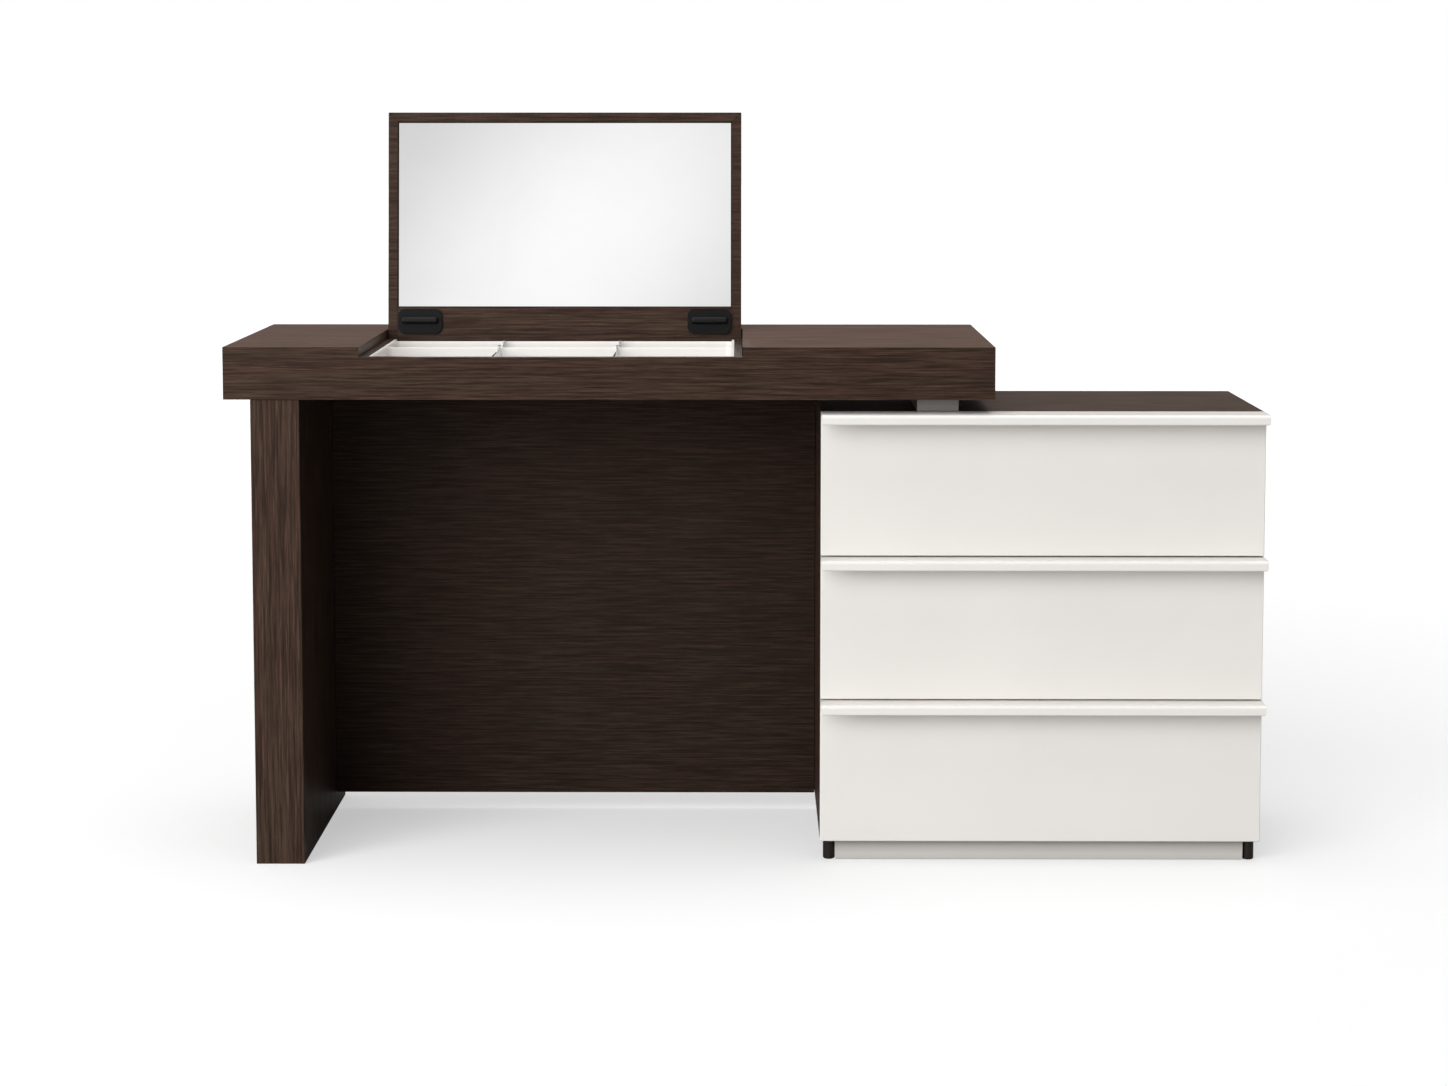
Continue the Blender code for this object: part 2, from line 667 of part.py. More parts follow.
def make_hinge_arm(name, middle, seat):
    """The fixed half of a hinge: an arm from the wall behind the flap, with the pin through its head."""
    half = ARM_THICKNESS / 2
    neck = math.degrees(math.asin(half / KNUCKLE_RADIUS))
    plate_top = -FLAP_SWEEP - FLAP_BACK_GAP
    foot = plate_top - ARM_PLATE_HEIGHT / 2
    crank = [
        *arc((0, 0), KNUCKLE_RADIUS, neck, 360 - neck),
        (ARM_WALL - ARM_THICKNESS, -half),
        (ARM_WALL - ARM_THICKNESS, foot),
        (ARM_WALL, foot),
        (ARM_WALL, half),
    ]
    low_x, high_x = middle - ARM_WIDTH / 2, middle + ARM_WIDTH / 2
    arm = solid_profile(f"hinge_arm_{name}", crank, low_x, high_x, "X", STEEL, seat)
    plate = board(
        f"arm_plate_{name}",
        (middle - ARM_PLATE_WIDTH / 2, ARM_WALL - ARM_PLATE, plate_top - ARM_PLATE_HEIGHT),
        (middle + ARM_PLATE_WIDTH / 2, ARM_WALL, plate_top),
        parent=seat,
    )
    combine(arm, plate, "UNION")
    reach = ARM_WIDTH / 2 + GAP + KNUCKLE_WIDTH
    pin = rod(f"pin_{name}", PIN_RADIUS, (middle - reach, 0, 0), (middle + reach, 0, 0), parent=seat)
    combine(arm, pin, "UNION")
    return smooth(arm)


def make_hinges(axis):
    seat = empty("flap_hinge_seat", (RECESS_MIDDLE, FRONT + AXIS_DEPTH, AXIS_HEIGHT))
    for name, side in (("left", -1), ("right", 1)):
        make_hinge_leaf(name, side * HINGE_OFFSET, axis)
        make_hinge_arm(name, side * HINGE_OFFSET, seat)


def make_supports():
    """The slab leg, the panel at the back of the knee space and the spacer on the cabinet."""
    leg_left = TOP_LEFT + LEG_INSET
    leg_right = leg_left + LEG_THICKNESS
    leg_front = FRONT + LEG_SETBACK
    board(
        "side_leg",
        (leg_left, leg_front, 0),
        (leg_right, BACK - LEG_REAR_GAP, TOP_UNDERSIDE - GAP),
        WOOD,
    )
    board(
        "modesty_panel",
        (leg_right + GAP, CABINET_BACK_FACE - PANEL_THICKNESS, PANEL_FLOOR_GAP),
        (CABINET_LEFT - GAP, CABINET_BACK_FACE, TOP_UNDERSIDE - GAP),
        WOOD,
    )
    spacer_right = TOP_RIGHT - SPACER_END_INSET
    board(
        "spacer_bar",
        (spacer_right - SPACER_WIDTH, FRONT + SPACER_SETBACK, CABINET_TOP + GAP),
        (spacer_right, CABINET_BACK_FACE - SPACER_REAR_GAP, TOP_UNDERSIDE - GAP),
        ALUMINIUM,
    )


def make_carcass():
    left, right = CABINET_LEFT, CABINET_LEFT + CABINET_WIDTH
    top_inner = CABINET_TOP - CABINET_WALL
    for name, low_x in (("left", left), ("right", right - CABINET_WALL)):
        board(
            f"cabinet_{name}_side",
            (low_x, CARCASS_FRONT, FOOT_HEIGHT),
            (low_x + CABINET_WALL, CABINET_BACK_FACE, top_inner - GAP),
            WOOD,
        )
    board("cabinet_top", (left, CARCASS_FRONT, top_inner), (right, CABINET_BACK_FACE, CABINET_TOP), WOOD)
    inner_left = left + CABINET_WALL + GAP
    inner_right = right - CABINET_WALL - GAP
    board(
        "cabinet_bottom",
        (inner_left, CARCASS_FRONT, FOOT_HEIGHT),
        (inner_right, CABINET_BACK_FACE, FOOT_HEIGHT + CABINET_BOTTOM),
        WOOD,
    )
    board(
        "cabinet_back",
        (inner_left, CABINET_BACK_FACE - CABINET_BACK, FOOT_HEIGHT + CABINET_BOTTOM + GAP),
        (inner_right, CABINET_BACK_FACE, top_inner - GAP),
        WOOD,
    )
    foot_space = FOOT_INSET + FOOT_RADIUS + GAP
    plinth_front = FRONT + DRAWER_SETBACK + PLINTH_SETBACK
    board(
        "plinth",
        (left + foot_space, plinth_front, PLINTH_FLOOR_GAP),
        (right - foot_space, plinth_front + PLINTH_THICKNESS, FOOT_HEIGHT - GAP),
        LACQUER,
    )


def make_foot(name, x, y):
    """A turned foot, from its top down, with a chamfered sole."""
    height = FOOT_HEIGHT - GAP
    points = (
        (0, height),
        (FOOT_RADIUS, height),
        (FOOT_RADIUS, FOOT_CHAMFER),
        (FOOT_RADIUS - FOOT_CHAMFER, 0),
        (0, 0),
    )
    mesh = bpy.data.meshes.new(name)
    shape = bmesh.new()
    corners = [shape.verts.new((across, 0, up)) for across, up in points]
    for first, second in zip(corners, corners[1:]):
        shape.edges.new((first, second))
    shape.to_mesh(mesh)
    shape.free()
    foot = bpy.data.objects.new(name, mesh)
    foot.location = (x, y, 0)
    turned = foot.modifiers.new("turned", "SCREW")
    turned.steps = ROUND_SIDES
    turned.render_steps = ROUND_SIDES
    turned.use_merge_vertices = True
    turned.merge_threshold = WELD
    turned.use_smooth_shade = False
    return place(foot, name, BLACK)


def make_feet():
    front_y = FRONT + DRAWER_SETBACK + FOOT_DEPTH
    back_y = CABINET_BACK_FACE - FOOT_DEPTH
    left_x = CABINET_LEFT + FOOT_INSET
    right_x = CABINET_LEFT + CABINET_WIDTH - FOOT_INSET
    for side, x in (("left", left_x), ("right", right_x)):
        make_foot(f"foot_front_{side}", x, front_y)
        make_foot(f"foot_back_{side}", x, back_y)


def handle_outline():
    """Side view of the bent handle: a flat plate over the front's top edge, and a down-turned lip."""
    top = FRONT_HEIGHT
    corner = (HANDLE_ROUND - HANDLE_REACH, top - HANDLE_ROUND)
    tip = (HANDLE_WALL / 2 - HANDLE_REACH, top - HANDLE_LIP + HANDLE_WALL / 2)
    return [
        (FRONT_BOARD, top),
        *arc(corner, HANDLE_ROUND, 90, 180),
        *arc(tip, HANDLE_WALL / 2, 180, 360),
        *arc(corner, HANDLE_ROUND - HANDLE_WALL, 180, 90),
        (FRONT_BOARD, top - HANDLE_WALL),
    ]


def slide_place(side, space):
    """X of a point at a distance from the cabinet side's inner face, seen from the drawer's middle."""
    return side * (CABINET_INNER_HALF - space)


def make_slide_rail(name, side, seat):
    """The cabinet's half of a slide: a channel on the cabinet side, with a roller at its front."""
    low = BOX_RISE - SLIDE_STEEL + GAP
    high = low + CHANNEL_HEIGHT
    near = GAP
    section = [
        (near, low),
        (RAIL_WIDTH, low),
        (RAIL_WIDTH, low + SLIDE_STEEL),
        (near + SLIDE_STEEL, low + SLIDE_STEEL),
        (near + SLIDE_STEEL, high - SLIDE_STEEL),
        (RAIL_WIDTH, high - SLIDE_STEEL),
        (RAIL_WIDTH, high),
        (near, high),
    ]
    points = [(slide_place(side, space), up) for space, up in section]
    rail = solid_profile(f"slide_rail_{name}", points, SLIDE_START, SLIDE_END, "Y", STEEL, seat)
    axle_y = SLIDE_START + ROLLER_INSET
    axle_z = low + ROLLER_HEIGHT + ROLLER_LIFT
    edges = sorted((slide_place(side, near + SLIDE_STEEL + GAP), slide_place(side, RAIL_WIDTH + OVERRUN)))
    relief = board(
        f"roller_relief_{name}",
        (edges[0], SLIDE_START - OVERRUN, high - SLIDE_STEEL - GAP),
        (edges[1], axle_y + ROLLER_RADIUS + SLIDE_STEEL, high + OVERRUN),
        parent=seat,
    )
    combine(rail, relief, "DIFFERENCE")
    roller = rod(
        f"front_roller_{name}",
        ROLLER_RADIUS,
        (slide_place(side, near + SLIDE_STEEL / 2), axle_y, axle_z),
        (slide_place(side, near + SLIDE_STEEL + ROLLER_WIDTH), axle_y, axle_z),
        parent=seat,
    )
    combine(rail, roller, "UNION")
    return rail


def make_slide_runner(name, side, seat):
    """The drawer's half of a slide: an angle under the box, its flange on the rail's roller, and a roller."""
    web_outer = SLIDE_SPACE - GAP - SLIDE_STEEL
    web_inner = SLIDE_SPACE - GAP
    foot_top = BOX_RISE - GAP
    roller_z = BOX_RISE - SLIDE_STEEL + GAP + ROLLER_HEIGHT
    flange_low = roller_z + ROLLER_LIFT + ROLLER_RADIUS + GAP
    flange_edge = SLIDE_STEEL * 2 + GAP
    section = [
        (flange_edge, flange_low),
        (web_outer, flange_low),
        (web_outer, foot_top - SLIDE_STEEL),
        (web_inner + RUNNER_FOOT, foot_top - SLIDE_STEEL),
        (web_inner + RUNNER_FOOT, foot_top),
        (web_inner, foot_top),
        (web_inner, flange_low + SLIDE_STEEL),
        (flange_edge, flange_low + SLIDE_STEEL),
    ]
    points = [(slide_place(side, space), up) for space, up in section]
    runner = solid_profile(f"slide_runner_{name}", points, SLIDE_START, SLIDE_END, "Y", STEEL, seat)
    roller = rod(
        f"rear_roller_{name}",
        ROLLER_RADIUS,
        (slide_place(side, web_outer + SLIDE_STEEL / 2), SLIDE_END - ROLLER_INSET, roller_z),
        (slide_place(side, web_outer - ROLLER_WIDTH), SLIDE_END - ROLLER_INSET, roller_z),
        parent=seat,
    )
    combine(runner, roller, "UNION")
    return runner


def make_drawer_box(name, seat):
    """Sides and back glued as one, with a groove for the base."""
    box = board(
        f"drawer_{name}_box",
        (-BOX_HALF, BOX_FRONT, BOX_RISE),
        (BOX_HALF, BOX_BACK, BOX_TOP),
        BIRCH,
        seat,
    )
    inner_half = BOX_HALF - BOX_WALL
    inside = board(
        f"box_inside_{name}",
        (-inner_half, BOX_FRONT - OVERRUN, BOX_RISE - OVERRUN),
        (inner_half, BOX_BACK - BOX_WALL, BOX_TOP + OVERRUN),
        parent=seat,
    )
    combine(box, inside, "DIFFERENCE")
    groove_low = BOX_RISE + BASE_RISE
    groove_high = groove_low + GAP + BASE_THICKNESS + GAP
    groove = board(
        f"base_groove_{name}",
        (-inner_half - BOX_GROOVE, BOX_FRONT - OVERRUN, groove_low),
        (inner_half + BOX_GROOVE, BOX_BACK - BOX_WALL + BOX_GROOVE, groove_high),
        parent=seat,
    )
    combine(box, groove, "DIFFERENCE")
    board(
        f"drawer_{name}_base",
        (GAP - inner_half - BOX_GROOVE, BOX_FRONT, groove_low + GAP),
        (inner_half + BOX_GROOVE - GAP, BOX_BACK - BOX_WALL + BOX_GROOVE - GAP, groove_high - GAP),
        BIRCH,
        seat,
    )


def make_handle(name, half, drawer):
    """The bent handle over the whole width of a front, with the lower corners of its ends rounded."""
    handle = solid_profile(
        f"drawer_{name}_handle", handle_outline(), -half - OVERRUN, half + OVERRUN, "X", LACQUER, drawer
    )
    ends = board(
        f"handle_ends_{name}",
        (-half, -HANDLE_REACH - OVERRUN, FRONT_HEIGHT - HANDLE_LIP - GAP),
        (half, FRONT_BOARD + OVERRUN, FRONT_HEIGHT + HANDLE_LIP),
        parent=drawer,
    )
    round_corners(ends, 1, HANDLE_CORNER)
    return combine(handle, ends, "INTERSECT")


def make_drawer(name, level):
    """A drawer in its own frame: the middle of its face's lower edge at the origin, +Y into the cabinet."""
    height = FOOT_HEIGHT + level * (FRONT_HEIGHT + DRAWER_GAP)
    place_of_face = (CABINET_MIDDLE, FRONT + DRAWER_SETBACK, height)
    drawer = empty(f"drawer_{name}_slide", place_of_face)
    fixed = empty(f"cabinet_{name}_slide", place_of_face)
    half = CABINET_WIDTH / 2
    front = board(
        f"drawer_{name}_front",
        (-half, 0, 0),
        (half, FRONT_BOARD, FRONT_HEIGHT - HANDLE_WALL - GAP),
        LACQUER,
        drawer,
        edge=0,
    )
    soften(front, FRONT_ROUND, 3)
    make_handle(name, half, drawer)
    make_drawer_box(name, drawer)
    for side_name, side in (("left", -1), ("right", 1)):
        make_slide_rail(f"{name}_{side_name}", side, fixed)
        make_slide_runner(f"{name}_{side_name}", side, drawer)


for old in list(bpy.data.objects):
    bpy.data.objects.remove(old)

PARTS = collection("dressing table")
TOOLS = collection("cutters and joined shapes")

WOOD = finish("dark oak veneer", (0.062, 0.040, 0.030), 0.5)
LACQUER = finish("off-white lacquer", (0.76, 0.74, 0.70), 0.4)
TRAY_PLASTIC = finish("cream plastic", (0.87, 0.83, 0.78), 0.45)
ACRYLIC = finish("clear acrylic", (0.95, 0.97, 0.97), 0.05, transmission=1.0)
MIRROR = finish("mirror glass", (0.92, 0.93, 0.93), 0.02, metallic=1.0)
BLACK = finish("black plastic", (0.012, 0.012, 0.012), 0.5)
STEEL = finish("zinc-plated steel", (0.55, 0.55, 0.54), 0.35, metallic=1.0)
ALUMINIUM = finish("satin aluminium", (0.36, 0.34, 0.32), 0.35, metallic=1.0)
BIRCH = finish("pale drawer board", (0.62, 0.56, 0.47), 0.6)

make_worktop()
make_compartment()
make_tray()
make_dividers()
make_hinges(make_flap())
make_supports()
make_carcass()
make_feet()
for drawer_level, drawer_name in enumerate(DRAWER_NAMES):
    make_drawer(drawer_name, drawer_level)
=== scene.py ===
"""The looks of the dressing table: materials, screws, floor, light and camera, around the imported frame."""

import json
import math

import bmesh
import bpy
from mathutils import Matrix, Vector


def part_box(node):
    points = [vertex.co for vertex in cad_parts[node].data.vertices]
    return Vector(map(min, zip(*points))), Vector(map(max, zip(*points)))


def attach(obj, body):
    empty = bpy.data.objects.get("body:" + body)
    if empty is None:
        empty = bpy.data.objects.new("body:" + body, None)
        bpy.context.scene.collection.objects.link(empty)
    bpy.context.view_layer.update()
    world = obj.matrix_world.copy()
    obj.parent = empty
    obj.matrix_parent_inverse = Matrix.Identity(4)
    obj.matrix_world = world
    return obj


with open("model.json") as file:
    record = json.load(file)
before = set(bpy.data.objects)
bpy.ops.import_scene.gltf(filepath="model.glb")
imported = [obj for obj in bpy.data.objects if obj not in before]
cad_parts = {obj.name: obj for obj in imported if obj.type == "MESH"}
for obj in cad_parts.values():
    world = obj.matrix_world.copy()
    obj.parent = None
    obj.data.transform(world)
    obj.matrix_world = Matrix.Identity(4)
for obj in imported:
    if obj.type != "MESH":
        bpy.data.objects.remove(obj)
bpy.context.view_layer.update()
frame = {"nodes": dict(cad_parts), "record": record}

# Camera, fitted to the photograph
CAMERA_PLACE = (-0.0058, -4.2637, 1.0787)
CAMERA_PITCH_DOWN = math.radians(5.081)
CAMERA_YAW = math.radians(0.356)
CAMERA_LENS = 71.02
CAMERA_SHIFT = -0.12

# Floor, background and lamps
FLOOR_HALF = 40.0
FLOOR_COLOUR = (0.43, 0.43, 0.43)
FLOOR_LIFT = 0.485  # what the floor gives the camera beyond its own light
FAR_FLOOR_LIFT = 0.65
FLOOR_FADE = (1.0, 5.0)  # the distances between which the floor whitens
WORLD_LIGHT = 0.25
BACK_LIGHT = (0.36, 0.315, 0.295)  # what glossy surfaces show of the room behind the table
BACK_FADE = (-0.7, 0.1)  # the Y of the directions between which the glow gives way to that light
GLOW_DIRECTION = (-0.0568, -0.987, 0.1491)
GLOW_TILT = math.radians(45)  # the glow is a slanting oval
GLOW_STRETCH = (0.75, 1.0, 1.25)
GLOW_STEPS = ((0.0, 0.995), (0.025, 0.965), (0.05, 0.855), (0.08, 0.69), (0.16, 0.55), (1.0, 0.5))
OVERHEAD_LIGHT = 1.75
OVERHEAD_SPREAD = math.radians(50)
FRONT_LIGHT = 2.2
FRONT_TURN = (math.radians(65), 0.0, math.radians(-30))
FRONT_SPREAD = math.radians(50)
LEFT_LIGHT = 17.0
LEFT_LAMP_PLACE = (-1.9, -1.6, 0.9)
LEFT_LAMP_AIM = (-0.55, 0.0, 0.5)
LEFT_LAMP_SIZE = 0.9

FLAP_LEAN = math.radians(5.6)  # how far the open flap leans back
QUARTER_TURN = math.pi / 2

# Grain directions: the turn that brings a piece's grain onto X
GRAIN_TURNS = {
    "length": (0.0, 0.0, 0.0),
    "depth": (0.0, 0.0, -QUARTER_TURN),
    "height": (0.0, QUARTER_TURN, 0.0),
    "flap length": (FLAP_LEAN, 0.0, 0.0),
}

# Veneer: gloss, two hues from dark to light, and features per metre along and across the grain
WOOD_GLOSS = 0.13
WOOD_GLOSS_TINT = (1.0, 0.8, 0.7, 1.0)
WOOD_WARM_DARK = (0.021, 0.0108, 0.0077, 1.0)
WOOD_WARM_LIGHT = (0.054, 0.0305, 0.0222, 1.0)
WOOD_OLIVE_DARK = (0.020, 0.0117, 0.0072, 1.0)
WOOD_OLIVE_LIGHT = (0.050, 0.0318, 0.0217, 1.0)
WOOD_STREAKS = (10.0, 330.0, 330.0)
WOOD_FIBRES = (24.0, 620.0, 620.0)
WOOD_BANDS = (0.9, 24.0, 24.0)
WOOD_HUES = (3.0, 110.0, 110.0)
WOOD_PORES = (35.0, 1300.0, 1300.0)
SHEET_STEP = (1.37, 0.61, 0.43)  # from one piece's cut out of the sheet to the next

WOOD_GRAIN = {
    "worktop_top_board": "length",
    "worktop_front_fascia": "length",
    "worktop_left_end": "depth",
    "worktop_right_end": "depth",
    "worktop_back_rail": "length",
    "worktop_bottom_board": "length",
    "compartment_left_wall": "depth",
    "compartment_right_wall": "depth",
    "compartment_back_wall": "length",
    "side_leg": "height",
    "modesty_panel": "length",
    "cabinet_left_side": "depth",
    "cabinet_right_side": "depth",
    "cabinet_top": "length",
    "cabinet_bottom": "length",
    "cabinet_back": "length",
    "flap_panel": "flap length",
    "flap_left_stile": "flap length",
    "flap_right_stile": "flap length",
    "flap_top_rail": "flap length",
    "flap_bottom_rail": "flap length",
}

# Other finishes
OFF_WHITE = (0.76, 0.735, 0.70)
HINGE_BLACK = (0.003, 0.003, 0.003, 1)
# painted highlight: the raised bar of each hinge is drawn in this lighter black
BAR_HIGHLIGHT_BLACK = (0.008, 0.008, 0.008, 1)
HINGE_GLOSS = 0.12
BAR_GLOSS_AND_HIGHLIGHT_DEPTH = 0.003  # how deep from its front the hinge bar's smoother gloss and painted highlight go
SILVER_DULL = (0.96, 0.96, 0.958, 1)
SILVER_BRIGHT = (0.985, 0.985, 0.983, 1)
TRAY_PAINTED_SHADE_DEPTHS = (0.005, 0.002)  # below the rim: the depths between which painted shade darkens the plastic, leaving the rim lighter
# the level of painted shade inside the tray
TRAY_PAINTED_SHADE_LEVEL = 0.88
PLINTH_PAINTED_SHADE_DEPTHS = (0.020, 0.004)  # below its top: the depths between which painted shade darkens the lacquer upwards
# the level of painted shade at the plinth's top, under the drawer front
PLINTH_PAINTED_SHADE_LEVEL = 0.66

# Painted light and shade on the veneer, as levels of its colour: boards darker or lighter than the rest, the
# modesty panel darker for painted shade, the top board, flap panel, cabinet top and flap's bottom rail
# lighter for painted light and sheen
WOOD_PAINTED_LIGHT_LEVELS = {
    "modesty_panel": 0.56,
    "cabinet_top": 1.1,
    "worktop_top_board": 2.1,
    "flap_panel": 2.1,
    "flap_bottom_rail": 1.1,
}

# Screws: heads on the slides' steel and on the plates of the hinge arms
SCREW_RADIUS = 0.0032
SCREW_HEIGHT = 0.0009
SCREW_SEGMENTS = 24
# A head's outline from its foot to its top, in shares of its radius and height
SCREW_PROFILE = ((1.0, 0.0), (1.0, 0.35), (0.93, 0.7), (0.8, 0.92), (0.66, 1.0))
RECESS_REACH_SHARE = 0.5
RECESS_HALF_SHARE = 0.13
RECESS_FLOOR_SHARE = 0.2
SLIDE_STEEL = 0.0012
RUNNER_FOOT = 0.010  # width of a runner's foot under the drawer box
SLIDE_SCREW_SHARES = (0.15, 0.5, 0.85)
ARM_PLATE = 0.003
ARM_PLATE_HEIGHT = 0.022
ARM_SCREW_OFFSET = 0.011


def add_node(tree, kind, inputs=None, **settings):
    """A shader node. An input is a number, a colour or a vector, or another node's output to link."""
    made = tree.nodes.new(f"ShaderNode{kind}")
    for name, value in settings.items():
        setattr(made, name, value)
    for name, value in (inputs or {}).items():
        if isinstance(value, bpy.types.NodeSocket):
            tree.links.new(value, made.inputs[name])
        else:
            made.inputs[name].default_value = value
    return made


def new_material(name, **inputs):
    """A material whose shader has these values, with underscores for the spaces in the socket names."""
    made = bpy.data.materials.new(name)
    made.use_nodes = True
    shader = made.node_tree.nodes["Principled BSDF"]
    for socket, value in inputs.items():
        shader.inputs[socket.replace("_", " ")].default_value = value
    return made, made.node_tree, shader


def link(tree, output, shader, socket):
    tree.links.new(output, shader.inputs[socket])


def placed_coordinates(tree, turn=(0.0, 0.0, 0.0), offset=(0.0, 0.0, 0.0)):
    coordinates = add_node(tree, "TexCoord")
    mapping = add_node(
        tree,
        "Mapping",
        {"Vector": coordinates.outputs["Object"], "Rotation": turn, "Location": offset},
    )
    return mapping.outputs["Vector"]


def stretched_noise(tree, vector, scales, detail=2.0, roughness=0.5, distortion=0.0):
    """Noise with its own scale along each axis, in features per metre."""
    scaled = add_node(tree, "VectorMath", {0: vector, 1: scales}, operation="MULTIPLY")
    noise = add_node(
        tree,
        "TexNoise",
        {
            "Vector": scaled.outputs["Vector"],
            "Scale": 1.0,
            "Detail": detail,
            "Roughness": roughness,
            "Distortion": distortion,
        },
    )
    return noise.outputs["Fac"]


def spread(tree, value, low, high, to_low=0.0, to_high=1.0):
    """Stretches a value from low and high to two others, and stops there."""
    made = add_node(
        tree,
        "MapRange",
        {"Value": value, "From Min": low, "From Max": high, "To Min": to_low, "To Max": to_high},
        clamp=True,
    )
    return made.outputs["Result"]


def multiplied(tree, first, second):
    return add_node(tree, "Math", {0: first, 1: second}, operation="MULTIPLY").outputs[0]


def mix_colours(tree, share, first, second):
    made = add_node(tree, "Mix", data_type="RGBA")
    for socket, value in ((0, share), (6, first), (7, second)):
        if isinstance(value, bpy.types.NodeSocket):
            tree.links.new(value, made.inputs[socket])
        else:
            made.inputs[socket].default_value = value
    return made.outputs[2]


def bump(tree, height, distance, strength):
    inputs = {"Height": height, "Distance": distance, "Strength": strength}
    return add_node(tree, "Bump", inputs).outputs["Normal"]


def wood_material(piece, grain, number, tone):
    """Dark straight-grained veneer under a satin varnish, each piece cut from another part of the sheet.
    tone scales its colour for painted light and shade.
    """
    material, tree, shader = new_material(f"veneer_{piece}", Specular_IOR_Level=WOOD_GLOSS)
    shader.inputs["Specular Tint"].default_value = WOOD_GLOSS_TINT
    offset = tuple(step * number for step in SHEET_STEP)
    place = placed_coordinates(tree, GRAIN_TURNS[grain], offset)
    streaks = stretched_noise(tree, place, WOOD_STREAKS, 4.0, 0.62, 0.05)
    fibres = stretched_noise(tree, place, WOOD_FIBRES, 3.0, 0.7)
    bands = stretched_noise(tree, place, WOOD_BANDS, 2.0, 0.5)
    hue = stretched_noise(tree, place, WOOD_HUES, 1.0, 0.5)
    pores = stretched_noise(tree, place, WOOD_PORES, 1.0, 0.5)

    depth_of_tone = spread(tree, streaks, 0.39, 0.61)
    warm = mix_colours(tree, depth_of_tone, WOOD_WARM_DARK, WOOD_WARM_LIGHT)
    olive = mix_colours(tree, depth_of_tone, WOOD_OLIVE_DARK, WOOD_OLIVE_LIGHT)
    colour = mix_colours(tree, spread(tree, hue, 0.38, 0.66), warm, olive)
    # tone scales the colour by the board's level of painted light and shade
    fibre_shade = spread(tree, fibres, 0.34, 0.66, 0.68 * tone, 1.32 * tone)
    band_shade = spread(tree, bands, 0.3, 0.7, 0.94, 1.06)
    pore_shade = spread(tree, pores, 0.26, 0.4, 0.6, 1.0)
    shade = multiplied(tree, multiplied(tree, fibre_shade, band_shade), pore_shade)
    colour = add_node(
        tree, "VectorMath", {0: colour, "Scale": shade}, operation="SCALE"
    ).outputs["Vector"]
    link(tree, colour, shader, "Base Color")
    link(tree, spread(tree, streaks, 0.3, 0.7, 0.50, 0.40), shader, "Roughness")
    relief = add_node(tree, "Math", {0: fibres, 1: pores}, operation="ADD").outputs[0]
    link(tree, bump(tree, relief, 0.00006, 0.5), shader, "Normal")
    return material


def lacquer_material(name, colour, roughness):
    """Sprayed satin lacquer: a fine orange-peel surface and a barely uneven tone."""
    material, tree, shader = new_material(name, Roughness=roughness)
    place = placed_coordinates(tree)
    cloud = stretched_noise(tree, place, (5.0, 5.0, 5.0), 2.0, 0.5)
    peel = stretched_noise(tree, place, (420.0, 420.0, 420.0), 2.0, 0.5)
    tone = mix_colours(
        tree, spread(tree, cloud, 0.35, 0.65), tuple(c * 0.975 for c in colour) + (1,), (*colour, 1)
    )
    link(tree, tone, shader, "Base Color")
    link(tree, spread(tree, peel, 0.3, 0.7, roughness - 0.03, roughness + 0.04), shader, "Roughness")
    link(tree, bump(tree, peel, 0.00002, 0.5), shader, "Normal")
    return material


def grained_material(name, colour, roughness, gloss=0.5, grain=900.0, depth=0.00003, spread_of_tone=0.06):
    """A fine even texture: moulded plastic, powder coat or melamine, by its values."""
    material, tree, shader = new_material(name, Roughness=roughness, Specular_IOR_Level=gloss)
    place = placed_coordinates(tree)
    fine = stretched_noise(tree, place, (grain, grain, grain), 3.0, 0.6)
    cloud = stretched_noise(tree, place, (18.0, 18.0, 18.0), 2.0, 0.5)
    dark = tuple(c * (1 - spread_of_tone) for c in colour) + (1,)
    tone = mix_colours(tree, spread(tree, cloud, 0.3, 0.7), dark, (*colour, 1))
    link(tree, tone, shader, "Base Color")
    link(tree, spread(tree, fine, 0.3, 0.7, roughness - 0.05, roughness + 0.06), shader, "Roughness")
    link(tree, bump(tree, fine, depth, 0.6), shader, "Normal")
    return material


def brushed_material(name, colour, roughness, scales):
    """Metal brushed along one axis, by the scales of its scratches."""
    material, tree, shader = new_material(name, Metallic=1.0, Roughness=roughness)
    place = placed_coordinates(tree)
    scratches = stretched_noise(tree, place, scales, 3.0, 0.6)
    tone = mix_colours(
        tree, spread(tree, scratches, 0.3, 0.7), tuple(c * 0.86 for c in colour) + (1,), (*colour, 1)
    )
    link(tree, tone, shader, "Base Color")
    link(tree, spread(tree, scratches, 0.3, 0.7, roughness - 0.06, roughness + 0.08), shader, "Roughness")
    link(tree, bump(tree, scratches, 0.00002, 0.5), shader, "Normal")
    return material


def mirror_material():
    """Silvered glass with a faint wiped film."""
    material, tree, shader = new_material("mirror_silver", Metallic=1.0)
    place = placed_coordinates(tree)
    film = stretched_noise(tree, place, (9.0, 9.0, 9.0), 3.0, 0.6, 0.8)
    tone = mix_colours(tree, spread(tree, film, 0.3, 0.7), SILVER_DULL, SILVER_BRIGHT)
    link(tree, tone, shader, "Base Color")
    link(tree, spread(tree, film, 0.35, 0.8, 0.01, 0.03), shader, "Roughness")
    return material


